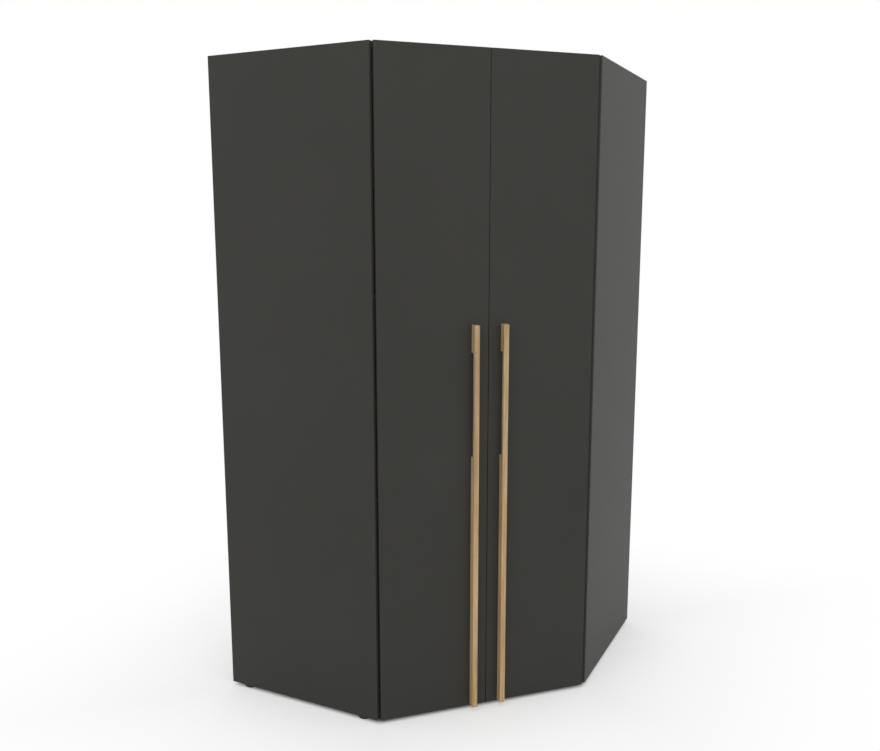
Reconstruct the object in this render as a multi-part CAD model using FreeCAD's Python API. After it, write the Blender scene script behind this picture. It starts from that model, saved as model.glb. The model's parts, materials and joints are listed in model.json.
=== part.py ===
import FreeCAD, Part
import math
import os
from FreeCAD import Placement, Rotation, Vector

# A five-sided corner wardrobe. Seen from above, two side panels stand square to the room's walls, two backs
# lie along the walls, and two doors close the diagonal front, which faces -Y. All lengths are in millimetres.
# Pieces that repeat, such as screws, pins, cams and feet, have flat sides in place of a round one.

# Overall sizes
PANEL_HEIGHT = 2315.0  # side panels, backs and doors
FRONT_WIDTH = 814.0  # front of the plan, between the crossings of its outer faces
SIDE_DEPTH = 650.0  # side of the plan, from such a crossing to the wall

# Boards
SIDE_BOARD = 18.0
BACK_BOARD = 16.0
FLAT_BOARD = 18.0  # top, bottom and shelf
DOOR_BOARD = 18.0
EDGE_EASE = 0.8  # bevel round the outer faces
DOOR_SEAM = 2.0  # between the two doors

# Feet
FOOT_HEIGHT = 15.0
FOOT_RADIUS = 25.0
FOOT_TREAD_RADIUS = 21.0  # on the floor
FOOT_BEVEL = 5.0  # height of the sloping rim
FOOT_INSET = 5.0  # outer face of the side panel to the nearest point of the foot
FOOT_FROM_FRONT = 76.0  # front crossing to the middle of the front foot
FOOT_FROM_WALL = 65.0  # wall to the middle of a rear foot
FOOT_PEG_RADIUS = 5.0  # peg that is pressed into the bottom panel
FOOT_PEG_LENGTH = 12.0

# Oak handles
HANDLE_WIDTH = 18.0
HANDLE_DEPTH = 30.0
HANDLE_LENGTH = 1400.0
HANDLE_LIFT = 5.0  # above the lower edge of the door
HANDLE_FROM_FREE_EDGE = 44.0  # free edge of the door to the handle
HANDLE_EASE = 1.5  # bevel round the front of the bar
GRIP_LENGTH = 370.0  # finger recess behind the bar
GRIP_DEPTH = 17.0
GRIP_FROM_TOP = 95.0  # solid head above the recess
GRIP_ROUND = 6.0
HANDLE_SCREW_GRIP = 16.0  # thread length inside the oak
HANDLE_SCREW_SHARES = (0.06, 0.32, 0.58, 0.966)  # places along the handle, from its foot

# Cup hinges
HINGE_COUNT = 4
HINGE_FROM_END = 100.0  # end of the door to the nearest hinge
CUP_RADIUS = 17.5
CUP_DEPTH = 13.5
CUP_WALL = 0.9
CUP_FROM_EDGE = 3.0  # hinge edge of the door to the cup bore
CUP_FLANGE = 1.2
CUP_FLANGE_RIM = 1.6  # flange beyond the bore, across the door
CUP_FLANGE_LENGTH = 56.0
CUP_CHEEK = 1.6  # cheeks that hold the pin
PIN_RADIUS = 2.0
PIN_RUN = 0.05  # running clearance of the arm on its pin
ARM_STRIP = 2.5
ARM_WIDTH = 12.0
ARM_BEND = 3.5  # bends, on the middle of the strip
EYE_WALL = 1.25
EYE_CLEAR = 0.4  # eye of the arm to the cup around it
SWING_CLEAR = 0.8  # swinging edge of the door to the boards and arms it passes
PLATE_THICK = 3.0
PLATE_WIDTH = 14.0
PLATE_FROM_EDGE = 12.0  # front edge of the side panel to the plate
PLATE_LENGTH = 46.0
PLATE_PEG_LINE = 37.0  # front edge of the side panel to the pegs that are pressed into it
PLATE_PEG_SPREAD = 16.0
PLATE_PEG_RADIUS = 4.0
PLATE_PEG_LENGTH = 11.0
PLATE_WING = 7.0  # wing beyond the middle of its peg

# Shelf and clothes rail
SHELF_DROP = 360.0  # underside of the top to the upper side of the shelf
SHELF_SETBACK = 30.0  # behind the front edges of top and bottom
SHELF_CLEAR = 0.5
SHELF_PIN_RADIUS = 2.5
SHELF_PIN_IN = 9.0
SHELF_PIN_OUT = 9.0
SHELF_PIN_SHARES = (0.2, 0.8)
RAIL_LENGTH = 1100.0
RAIL_HEIGHT = 30.0
RAIL_WIDTH = 15.0
RAIL_WALL = 1.5
RAIL_DROP = 62.0  # underside of the shelf to the middle of the rail
RAIL_SETBACK = 330.0  # front edge of the shelf to the rail
RAIL_CAP = 4.0
HANGER_SHARES = (-0.34, 0.34)  # places along the rail
HANGER_WALL = 3.5
HANGER_THICK = 8.0
HANGER_PLATE = 3.0
HANGER_PLATE_LENGTH = 56.0
HANGER_FIT = 0.15
HANGER_SCREW_SPREAD = 19.0

# Joints of the boards
CAM_RADIUS = 7.5
CAM_HEIGHT = 12.5
CAM_FROM_FACE = 34.0
CAM_FIT = 0.1
BOLT_RADIUS = 3.0
BOLT_FIT = 0.5
BOLT_THREAD = 10.0
BACK_SCREW_RADIUS = 3.0
BACK_SCREW_GRIP = 34.0
BACK_SCREW_HEAD = 4.0
BACK_SCREW_HEAD_RADIUS = 5.0
FLAT_JOINT_SHARES = (0.22, 0.78)  # places along the board that is met
CORNER_JOINT_SHARES = (0.08, 0.5, 0.92)  # places up the corner

# Wall brackets against tipping
BRACKET_LEG = 42.0
BRACKET_WIDTH = 40.0
BRACKET_THICK = 2.5
WALL_HOLE_RADIUS = 3.25
WALL_HOLE_DROP = 24.0
BRACKET_SCREW_SPREAD = 11.0

# Screws and bumpers
WOOD_SCREW_RADIUS = 1.75
WOOD_SCREW_LENGTH = 13.0
WOOD_SCREW_HEAD_RADIUS = 3.5
WOOD_SCREW_HEAD = 1.6
HOLE_CLEAR = 0.15  # radius of a passing hole beyond its screw
MACHINE_SCREW_RADIUS = 2.0
MACHINE_SCREW_HEAD_RADIUS = 4.0
MACHINE_SCREW_HEAD = 2.4
BUMPER_RADIUS = 4.0
BUMPER_FROM_EDGE = 16.0
BUMPER_CLEAR = 0.3
OVERRUN = 2.0  # cutting tools past the faces they open

# Counts of flat sides
SCREW_SIDES = 6
CAM_SIDES = 8
PIN_SIDES = 12
CUP_SIDES = 16
FOOT_SIDES = 24

# Directions of the plan
UP = Vector(0, 0, 1)
RIGHT = Vector(1, 0, 0)
INWARD = Vector(0, 1, 0)
DIAGONAL = math.sqrt(0.5)
ALONG_LEFT_SIDE = Vector(-DIAGONAL, DIAGONAL, 0)
OFF_LEFT_SIDE = Vector(DIAGONAL, DIAGONAL, 0)
OFF_RIGHT_SIDE = Vector(-DIAGONAL, DIAGONAL, 0)
OFF_LEFT_BACK = Vector(DIAGONAL, -DIAGONAL, 0)
OFF_RIGHT_BACK = Vector(-DIAGONAL, -DIAGONAL, 0)
LEFT_SIDE_TURN = Rotation(UP, 45)

# Place of the hinge pin, from the hinge edge and the outer face of the door
EYE_FLAT = PIN_RADIUS + PIN_RUN + EYE_WALL
EYE_RADIUS = EYE_FLAT / math.cos(math.pi / CAM_SIDES)
CUP_MIDDLE = CUP_FROM_EDGE + CUP_RADIUS
CUP_INNER_RADIUS = CUP_RADIUS - CUP_WALL
EYE_WALL_REACH = math.sqrt(CUP_INNER_RADIUS**2 - (ARM_WIDTH / 2) ** 2)
PIN_FROM_EDGE = CUP_MIDDLE - EYE_WALL_REACH + EYE_CLEAR + EYE_RADIUS
PIN_FROM_FACE = DOOR_BOARD - CUP_DEPTH + CUP_WALL + EYE_CLEAR + EYE_RADIUS

# What the door's hinge edge needs to swing past the side panel and the boards behind it
OUTER_SWING = math.hypot(PIN_FROM_EDGE, PIN_FROM_FACE)
INNER_SWING = math.hypot(PIN_FROM_EDGE, DOOR_BOARD - PIN_FROM_FACE)
EDGE_ROOM = (OUTER_SWING + SWING_CLEAR) / DIAGONAL - PIN_FROM_EDGE + PIN_FROM_FACE
CORNER_RELIEF = EDGE_ROOM / (1 + 1 / DIAGONAL)
DOOR_GAP = PIN_FROM_FACE + INNER_SWING + SWING_CLEAR - DOOR_BOARD

# Heights
PANEL_TOP = FOOT_HEIGHT + PANEL_HEIGHT
TOP_UNDERSIDE = PANEL_TOP - FLAT_BOARD
SHELF_TOP = TOP_UNDERSIDE - SHELF_DROP
SHELF_UNDERSIDE = SHELF_TOP - FLAT_BOARD
RAIL_LEVEL = SHELF_UNDERSIDE - RAIL_DROP
HINGE_STEP = (PANEL_HEIGHT - 2 * HINGE_FROM_END) / (HINGE_COUNT - 1)
HINGE_LEVELS = [FOOT_HEIGHT + HINGE_FROM_END + HINGE_STEP * row for row in range(HINGE_COUNT)]

# Outer outline of the plan, centred so that the middle of the whole box lies at X = Y = 0
PLAN_DEPTH = FRONT_WIDTH / 2 + 2 * SIDE_DEPTH * DIAGONAL
FRONT_Y = (HANDLE_DEPTH - PLAN_DEPTH) / 2
LEFT_CROSSING = Vector(-FRONT_WIDTH / 2, FRONT_Y, 0)
RIGHT_CROSSING = Vector(FRONT_WIDTH / 2, FRONT_Y, 0)
REAR_CORNER = Vector(0, FRONT_Y + PLAN_DEPTH, 0)
DOOR_INNER_Y = FRONT_Y + DOOR_BOARD
HINGE_EDGE_X = LEFT_CROSSING.x + CORNER_RELIEF
FREE_EDGE_X = -DOOR_SEAM / 2
HINGE_PIN = Vector(HINGE_EDGE_X + PIN_FROM_EDGE, FRONT_Y + PIN_FROM_FACE, 0)
CUP_CENTRE = Vector(HINGE_EDGE_X + CUP_MIDDLE, DOOR_INNER_Y, 0)
CUP_FLOOR = CUP_CENTRE - INWARD * CUP_DEPTH


def line_through(point, normal):
    """A line of the plan, as its normal and its reach along that normal."""
    return normal, normal.dot(point)


def shifted(line, distance):
    normal, reach = line
    return normal, reach + distance


def meet(first, second):
    (a, p), (b, q) = first, second
    area = a.x * b.y - a.y * b.x
    return Vector((p * b.y - q * a.y) / area, (a.x * q - b.x * p) / area, 0)


FRONT = line_through(LEFT_CROSSING, INWARD)
LEFT_SIDE = line_through(LEFT_CROSSING, OFF_LEFT_SIDE)
RIGHT_SIDE = line_through(RIGHT_CROSSING, OFF_RIGHT_SIDE)
LEFT_BACK = line_through(REAR_CORNER, OFF_LEFT_BACK)
RIGHT_BACK = line_through(REAR_CORNER, OFF_RIGHT_BACK)
LEFT_SIDE_INNER = shifted(LEFT_SIDE, SIDE_BOARD)
RIGHT_SIDE_INNER = shifted(RIGHT_SIDE, SIDE_BOARD)
LEFT_BACK_INNER = shifted(LEFT_BACK, BACK_BOARD)
RIGHT_BACK_INNER = shifted(RIGHT_BACK, BACK_BOARD)
LEFT_FRONT_EDGE = shifted(line_through(LEFT_CROSSING, ALONG_LEFT_SIDE), CORNER_RELIEF)
LEFT_INNER_EDGE = meet(LEFT_FRONT_EDGE, LEFT_SIDE_INNER)

# The arm of a hinge passes the swinging edge at this reach from the pin, which sets the height of its plate
ARM_PASS = OUTER_SWING + SWING_CLEAR
PLATE_HEIGHT = ARM_PASS + OFF_LEFT_SIDE.dot(HINGE_PIN) - LEFT_SIDE_INNER[1]


def at_height(point, height):
    return Vector(point.x, point.y, height)


def mirrored(shape):
    return shape.mirror(Vector(0, 0, 0), RIGHT)


def outline(lines):
    """Corners where each line of the plan meets the next one."""
    return [meet(line, lines[(place + 1) % len(lines)]) for place, line in enumerate(lines)]


def prism(corners, way):
    return Part.Face(Part.makePolygon(corners + corners[:1])).extrude(way)


def upright_board(lines):
    corners = [at_height(corner, FOOT_HEIGHT) for corner in outline(lines)]
    return prism(corners, UP * PANEL_HEIGHT)


def rod(radius, start, end):
    along = end - start
    return Part.makeCylinder(radius, along.Length, start, along)


def faceted_rod(radius, start, end, sides, toward):
    """A rod of flat sides, each the radius away from its axis, with one side facing toward."""
    along = end - start
    across = along.cross(toward).normalize()
    corner_reach = radius / math.cos(math.pi / sides)
    turns = [math.pi * (2 * place + 1) / sides for place in range(sides)]
    spokes = [toward * math.cos(turn) + across * math.sin(turn) for turn in turns]
    return prism([start + spoke * corner_reach for spoke in spokes], along)


def hex_rod(radius, start, end):
    along = end - start
    toward = RIGHT if abs(along.z) > along.Length / 2 else UP
    return faceted_rod(radius, start, end, SCREW_SIDES, toward)


def ease_face(body, normal, bevel):
    """Bevel the edges of the outermost face."""
    outer = max(body.Faces, key=lambda face: face.CenterOfMass.dot(normal))
    return body.makeChamfer(bevel, outer.Edges)


def screw(head_radius, head, radius, length, seat, into):
    """A screw whose head lies on the point seat and whose shank goes in along into."""
    shank = hex_rod(radius, seat, seat + into * length)
    return hex_rod(head_radius, seat - into * head, seat).fuse(shank).removeSplitter()


def wood_screw(seat, into):
    return screw(WOOD_SCREW_HEAD_RADIUS, WOOD_SCREW_HEAD, WOOD_SCREW_RADIUS, WOOD_SCREW_LENGTH, seat, into)


def wood_screw_hole(seat, into):
    return hex_rod(WOOD_SCREW_RADIUS, seat, seat + into * WOOD_SCREW_LENGTH)


def machine_screw(length, seat, into):
    return screw(MACHINE_SCREW_HEAD_RADIUS, MACHINE_SCREW_HEAD, MACHINE_SCREW_RADIUS, length, seat, into)


def passing_hole(radius, seat, into, thickness):
    return hex_rod(radius + HOLE_CLEAR, seat - into * OVERRUN, seat + into * (thickness + OVERRUN))


def flat_corners(setback, clear, level):
    """Corners of a level board between the four upright ones, from the right front round the back."""
    lines = [
        shifted(FRONT, DOOR_BOARD + DOOR_GAP + setback),
        shifted(RIGHT_SIDE_INNER, clear),
        shifted(RIGHT_BACK_INNER, clear),
        shifted(LEFT_BACK_INNER, clear),
        shifted(LEFT_SIDE_INNER, clear),
    ]
    return [at_height(corner, level) for corner in outline(lines)]


def side_panel():
    board = upright_board([LEFT_SIDE, LEFT_FRONT_EDGE, LEFT_SIDE_INNER, LEFT_BACK])
    return ease_face(board, OFF_LEFT_SIDE * -1, EDGE_EASE)


def door_panel():
    width = FREE_EDGE_X - HINGE_EDGE_X
    board = Part.makeBox(width, DOOR_BOARD, PANEL_HEIGHT, Vector(HINGE_EDGE_X, FRONT_Y, FOOT_HEIGHT))
    return ease_face(board, INWARD * -1, EDGE_EASE)


def add_each(name, shapes):
    """Give each of the repeated pieces a node of its own."""
    for number, shape in enumerate(shapes, 1):
        nodes[f"{name}_{number}"] = [shape]


boards = {
    "left_side_panel": side_panel(),
    "right_side_panel": mirrored(side_panel()),
    "left_back_panel": upright_board([LEFT_BACK, LEFT_SIDE_INNER, LEFT_BACK_INNER, RIGHT_BACK]),
    "right_back_panel": upright_board([RIGHT_BACK, RIGHT_SIDE_INNER, RIGHT_BACK_INNER, LEFT_BACK_INNER]),
    "top_panel": prism(flat_corners(0, 0, TOP_UNDERSIDE), UP * FLAT_BOARD),
    "bottom_panel": prism(flat_corners(0, 0, FOOT_HEIGHT), UP * FLAT_BOARD),
    "hat_shelf": prism(flat_corners(SHELF_SETBACK, SHELF_CLEAR, SHELF_UNDERSIDE), UP * FLAT_BOARD),
    "left_door_panel": door_panel(),
    "right_door_panel": mirrored(door_panel()),
}
cuts = {name: [] for name in boards}
nodes = {}

# The line of each upright's inner face that a level board meets, and the way from it into the wardrobe
FLAT = flat_corners(0, 0, 0)
SIDES = [
    ("right_side_panel", FLAT[0], FLAT[1], OFF_RIGHT_SIDE),
    ("left_side_panel", FLAT[3], FLAT[4], OFF_LEFT_SIDE),
]
BACKS = [
    ("right_back_panel", FLAT[1], FLAT[2], OFF_RIGHT_BACK),
    ("left_back_panel", FLAT[2], FLAT[3], OFF_LEFT_BACK),
]
# Each level board at the middle of its thickness, and the way into it from its hidden face
LEVEL_BOARDS = [
    ("top_panel", TOP_UNDERSIDE + FLAT_BOARD / 2, UP * -1),
    ("bottom_panel", FOOT_HEIGHT + FLAT_BOARD / 2, UP),
]
BACK_MIDDLE = BACK_BOARD / 2


def cam_fitting(met, ending, place, off, sunk, thickness):
    """A cam sunk into the hidden face of the ending board, and the bolt that it pulls on."""
    middle = place + off * CAM_FROM_FACE
    hidden = middle - sunk * (thickness / 2)
    depth = sunk * CAM_HEIGHT
    slack = sunk * CAM_FIT
    bolt_end = middle - off * CAM_RADIUS
    bolt_root = place - off * BOLT_THREAD
    cuts[met].append(hex_rod(BOLT_RADIUS, bolt_root, place))
    cuts[ending] += [
        faceted_rod(CAM_RADIUS + CAM_FIT, hidden - sunk * OVERRUN, hidden + depth + slack, CAM_SIDES, off),
        hex_rod(BOLT_RADIUS + BOLT_FIT, place, middle),
    ]
    cam = faceted_rod(CAM_RADIUS, hidden, hidden + depth, CAM_SIDES, off)
    return cam, hex_rod(BOLT_RADIUS, bolt_root, bolt_end)


def back_screw(met, ending, place, off):
    """A long screw through the back that is met, into the edge of the board that ends there."""
    outside = place - off * BACK_BOARD
    seat = outside + off * BACK_SCREW_HEAD
    length = BACK_BOARD - BACK_SCREW_HEAD + BACK_SCREW_GRIP
    fixing = screw(BACK_SCREW_HEAD_RADIUS, BACK_SCREW_HEAD, BACK_SCREW_RADIUS, length, seat, off)
    cuts[met].append(fixing)
    cuts[ending].append(fixing)
    return fixing


def board_joints():
    """Cams where the outer face stays clean, and screws where the wall hides their heads."""
    fittings = []
    screws = []
    for flat, level, sunk in LEVEL_BOARDS:
        for share in FLAT_JOINT_SHARES:
            for side, start, end, off in SIDES:
                place = at_height(start + (end - start) * share, level)
                fittings.append(cam_fitting(side, flat, place, off, sunk, FLAT_BOARD))
            for back, start, end, off in BACKS:
                place = at_height(start + (end - start) * share, level)
                screws.append(back_screw(back, flat, place, off))
    left_corner = meet(LEFT_SIDE_INNER, shifted(LEFT_BACK, BACK_MIDDLE))
    right_corner = meet(RIGHT_SIDE_INNER, shifted(RIGHT_BACK, BACK_MIDDLE))
    rear_corner = meet(LEFT_BACK_INNER, shifted(RIGHT_BACK, BACK_MIDDLE))
    for share in CORNER_JOINT_SHARES:
        level = FOOT_HEIGHT + PANEL_HEIGHT * share
        for side, back, corner, off, sunk in (
            ("left_side_panel", "left_back_panel", left_corner, OFF_LEFT_SIDE, OFF_LEFT_BACK),
            ("right_side_panel", "right_back_panel", right_corner, OFF_RIGHT_SIDE, OFF_RIGHT_BACK),
        ):
            fittings.append(cam_fitting(side, back, at_height(corner, level), off, sunk, BACK_BOARD))
        place = at_height(rear_corner, level)
        screws.append(back_screw("left_back_panel", "right_back_panel", place, OFF_LEFT_BACK))
    nodes["cam_housings"] = [cam for cam, bolt in fittings]
    nodes["cam_bolts"] = [bolt for cam, bolt in fittings]
    nodes["back_screws"] = screws


def shelf_pins():
    pins = []
    level = SHELF_UNDERSIDE - SHELF_PIN_RADIUS
    for upright, start, end, off in SIDES + BACKS:
        for share in SHELF_PIN_SHARES:
            face = at_height(start + (end - start) * share, level)
            pin = hex_rod(SHELF_PIN_RADIUS, face - off * SHELF_PIN_IN, face + off * SHELF_PIN_OUT)
            cuts[upright].append(pin)
            pins.append(pin)
    nodes["shelf_pins"] = pins


def feet():
    """Moulded glides, each with a peg in the bottom panel."""
    top = UP * FOOT_HEIGHT
    body = faceted_rod(FOOT_RADIUS, Vector(0, 0, 0), top, FOOT_SIDES, RIGHT)
    tread = min(body.Faces, key=lambda face: face.CenterOfMass.z)
    body = body.makeChamfer(FOOT_BEVEL, FOOT_RADIUS - FOOT_TREAD_RADIUS, tread.Edges)
    peg = hex_rod(FOOT_PEG_RADIUS, top, top + UP * FOOT_PEG_LENGTH)
    glide = body.fuse(peg).removeSplitter()

    inset = FOOT_INSET + FOOT_RADIUS
    front_left = LEFT_CROSSING + ALONG_LEFT_SIDE * FOOT_FROM_FRONT + OFF_LEFT_SIDE * inset
    rear_left = meet(shifted(LEFT_SIDE, inset), shifted(LEFT_BACK, FOOT_FROM_WALL))
    rear = meet(shifted(LEFT_BACK, FOOT_FROM_WALL), shifted(RIGHT_BACK, FOOT_FROM_WALL))
    places = [front_left, rear_left, rear]
    places += [Vector(-place.x, place.y, 0) for place in (rear_left, front_left)]
    add_each("foot_glide", [glide.translated(place) for place in places])
    cuts["bottom_panel"] += [peg.translated(place) for place in places]


def oval(width, height, start, length):
    """A bar of upright oval section that runs along X from the point start."""
    radius = width / 2
    rise = height / 2 - radius
    corners = [Vector(0, side * radius, level * rise) for side, level in ((1, -1), (1, 1), (-1, 1), (-1, -1))]
    crown = Vector(0, 0, height / 2)
    edges = [
        Part.makeLine(corners[0], corners[1]),
        Part.Arc(corners[1], crown, corners[2]).toShape(),
        Part.makeLine(corners[2], corners[3]),
        Part.Arc(corners[3], crown * -1, corners[0]).toShape(),
    ]
    bar = Part.Face(Part.Wire(edges)).extrude(RIGHT * length)
    bar.translate(start)
    return bar


def rail_hanger():
    """A strap round the rail with a plate for two screws, about the middle of the rail."""
    width = RAIL_WIDTH + 2 * (HANGER_FIT + HANGER_WALL)
    reach = RAIL_HEIGHT / 2 + HANGER_FIT + HANGER_WALL
    back = RIGHT * (-HANGER_THICK / 2)
    strap = Part.makeBox(HANGER_THICK, width, reach + RAIL_DROP, back - INWARD * (width / 2) - UP * reach)
    plate_corner = Vector(-HANGER_PLATE_LENGTH / 2, -width / 2, RAIL_DROP - HANGER_PLATE)
    plate = Part.makeBox(HANGER_PLATE_LENGTH, width, HANGER_PLATE, plate_corner)
    window = oval(
        RAIL_WIDTH + 2 * HANGER_FIT,
        RAIL_HEIGHT + 2 * HANGER_FIT,
        back - RIGHT * OVERRUN,
        HANGER_THICK + 2 * OVERRUN,
    )
    seats = [Vector(side * HANGER_SCREW_SPREAD, 0, RAIL_DROP - HANGER_PLATE) for side in (-1, 1)]
    holes = [passing_hole(WOOD_SCREW_RADIUS, seat, UP, HANGER_PLATE) for seat in seats]
    return strap.fuse(plate).removeSplitter().cut([window] + holes), seats


def clothes_rail():
    shelf_front_y = DOOR_INNER_Y + DOOR_GAP + SHELF_SETBACK
    middle = Vector(0, shelf_front_y + RAIL_SETBACK, RAIL_LEVEL)
    start = middle - RIGHT * (RAIL_LENGTH / 2)
    hollow = oval(
        RAIL_WIDTH - 2 * RAIL_WALL,
        RAIL_HEIGHT - 2 * RAIL_WALL,
        start - RIGHT * OVERRUN,
        RAIL_LENGTH + 2 * OVERRUN,
    )
    nodes["clothes_rail"] = [oval(RAIL_WIDTH, RAIL_HEIGHT, start, RAIL_LENGTH).cut(hollow)]
    cap = oval(RAIL_WIDTH, RAIL_HEIGHT, start - RIGHT * RAIL_CAP, RAIL_CAP)
    nodes["rail_end_caps"] = [cap, mirrored(cap)]
    hanger, seats = rail_hanger()
    spots = [middle + RIGHT * (RAIL_LENGTH * share) for share in HANGER_SHARES]
    nodes["rail_hangers"] = [hanger.translated(spot) for spot in spots]
    nodes["rail_screws"] = [wood_screw(spot + seat, UP) for spot in spots for seat in seats]
    cuts["hat_shelf"] += [wood_screw_hole(spot + seat, UP) for spot in spots for seat in seats]


def wall_brackets():
    """Angles under the top, each with a hole through the back for a screw into the wall."""
    brackets = []
    screws = []
    for back, start, end, off in BACKS:
        along = (end - start).normalize()
        place = at_height((start + end) / 2, TOP_UNDERSIDE)
        edge = place - along * (BRACKET_WIDTH / 2)
        profile = [
            edge,
            edge + off * BRACKET_LEG,
            edge + off * BRACKET_LEG - UP * BRACKET_THICK,
            edge + off * BRACKET_THICK - UP * BRACKET_THICK,
            edge + off * BRACKET_THICK - UP * BRACKET_LEG,
            edge - UP * BRACKET_LEG,
        ]
        face = place - UP * WALL_HOLE_DROP
        outside = face - off * (BACK_BOARD + OVERRUN)
        hole = rod(WALL_HOLE_RADIUS, outside, face + off * (BRACKET_THICK + OVERRUN))
        cuts[back].append(hole)
        holes = [hole]
        for side in (-1, 1):
            spread = along * (side * BRACKET_SCREW_SPREAD) + off * (BRACKET_LEG / 2)
            seat = place + spread - UP * BRACKET_THICK
            holes.append(passing_hole(WOOD_SCREW_RADIUS, seat, UP, BRACKET_THICK))
            screws.append(wood_screw(seat, UP))
            cuts["top_panel"].append(wood_screw_hole(seat, UP))
        brackets.append(prism(profile, along * BRACKET_WIDTH).cut(holes))
    add_each("wall_bracket", brackets)
    nodes["bracket_screws"] = screws


def handle():
    """An oak bar cut back behind its upper part, so that fingers reach round it."""
    x = FREE_EDGE_X - HANDLE_FROM_FREE_EDGE - HANDLE_WIDTH
    foot = Vector(x, FRONT_Y - HANDLE_DEPTH, FOOT_HEIGHT + HANDLE_LIFT)
    bar = ease_face(Part.makeBox(HANDLE_WIDTH, HANDLE_DEPTH, HANDLE_LENGTH, foot), INWARD * -1, HANDLE_EASE)
    grip_low = HANDLE_LENGTH - GRIP_FROM_TOP - GRIP_LENGTH
    corner = foot + Vector(-OVERRUN, HANDLE_DEPTH - GRIP_DEPTH, grip_low)
    recess = Part.makeBox(HANDLE_WIDTH + 2 * OVERRUN, GRIP_DEPTH + OVERRUN, GRIP_LENGTH, corner)
    deepest = min(recess.Faces, key=lambda face: face.CenterOfMass.y)
    ends = [edge for edge in deepest.Edges if edge.BoundBox.XLength > HANDLE_WIDTH]
    return bar.cut(recess.makeFillet(GRIP_ROUND, ends)), foot + RIGHT * (HANDLE_WIDTH / 2)


def rounded_path(points, radius_list):
    """Straight runs through the points, joined by an arc of the given radius at each inner one."""
    edges = []
    start = points[0]
    for before, corner, after, radius in zip(points, points[1:], points[2:], radius_list):
        back = (before - corner).normalize()
        onward = (after - corner).normalize()
        half_angle = back.getAngle(onward) / 2
        towards_centre = (back + onward).normalize()
        tangent = radius / math.tan(half_angle)
        crown = corner + towards_centre * (radius / math.sin(half_angle) - radius)
        edges.append(Part.makeLine(start, corner + back * tangent))
        edges.append(Part.Arc(corner + back * tangent, crown, corner + onward * tangent).toShape())
        start = corner + onward * tangent
    edges.append(Part.makeLine(start, points[-1]))
    return edges


def beside(points, distance):
    """The points of a path moved to its left by the distance."""
    ways = [(end - start).normalize() for start, end in zip(points, points[1:])]
    lefts = [Vector(-way.y, way.x, 0) for way in ways]
    moved = [points[0] + lefts[0] * distance]
    for point, one, other in zip(points[1:], lefts, lefts[1:]):
        between = one + other
        moved.append(point + between * (2 * distance / between.dot(between)))
    return moved + [points[-1] + lefts[-1] * distance]


def bent_strip(points, bend, thickness, width):
    """A strip that runs along a path of the plan and bends to the left at each inner point."""
    half = thickness / 2
    left = beside(points, half)
    right = beside(points, -half)[::-1]
    bends = len(points) - 2
    edges = rounded_path(left, [bend - half] * bends)
    edges.append(Part.makeLine(left[-1], right[0]))
    edges += rounded_path(right, [bend + half] * bends)
    edges.append(Part.makeLine(right[-1], left[0]))
    strip = Part.Face(Part.Wire(edges)).extrude(UP * width)
    strip.translate(UP * (-width / 2))
    return strip


def hinge_arm():
    """A strip with an eye on the pin, bent out of the cup and round the door's edge to its plate."""
    reach = ARM_PASS + ARM_STRIP / 2
    edge = ALONG_LEFT_SIDE.dot(LEFT_INNER_EDGE - HINGE_PIN)
    tail = ALONG_LEFT_SIDE * (edge + PLATE_FROM_EDGE + PLATE_LENGTH)
    path = [
        HINGE_PIN,
        HINGE_PIN + RIGHT * reach,
        HINGE_PIN + RIGHT * reach + INWARD * (reach * math.tan(math.radians(45) / 2)),
        HINGE_PIN + OFF_LEFT_SIDE * reach + tail,
    ]
    strip = bent_strip(path, ARM_BEND, ARM_STRIP, ARM_WIDTH)
    low = HINGE_PIN - UP * (ARM_WIDTH / 2)
    high = HINGE_PIN + UP * (ARM_WIDTH / 2)
    eye = faceted_rod(EYE_FLAT, low, high, CAM_SIDES, RIGHT)
    bore = faceted_rod(PIN_RADIUS + PIN_RUN, low - UP * OVERRUN, high + UP * OVERRUN, PIN_SIDES, RIGHT)
    return strip.fuse(eye).removeSplitter().cut(bore)


def on_left_side(shape):
    """Place a shape on the left panel: X off its inner face, Y along it from its front edge."""
    placed = shape.copy()
    placed.Placement = Placement(LEFT_INNER_EDGE, LEFT_SIDE_TURN).multiply(placed.Placement)
    return placed


def hinge_plate():
    """A raised mounting plate with a wing and a peg on either side of it."""
    corner = Vector(0, PLATE_FROM_EDGE, -PLATE_WIDTH / 2)
    block = Part.makeBox(PLATE_HEIGHT, PLATE_LENGTH, PLATE_WIDTH, corner)
    span = PLATE_PEG_SPREAD + PLATE_WING
    wing_corner = Vector(0, PLATE_PEG_LINE - PLATE_WING, -span)
    wings = Part.makeBox(PLATE_THICK, 2 * PLATE_WING, 2 * span, wing_corner)
    roots = [Vector(0, PLATE_PEG_LINE, side * PLATE_PEG_SPREAD) for side in (-1, 1)]
    pegs = [hex_rod(PLATE_PEG_RADIUS, root, root - RIGHT * PLATE_PEG_LENGTH) for root in roots]
    plate = block.fuse([wings] + pegs).removeSplitter()
    return on_left_side(plate), [on_left_side(peg) for peg in pegs]


def cup_rod(radius, start, end):
    return faceted_rod(radius, start, end, CUP_SIDES, RIGHT)


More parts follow.
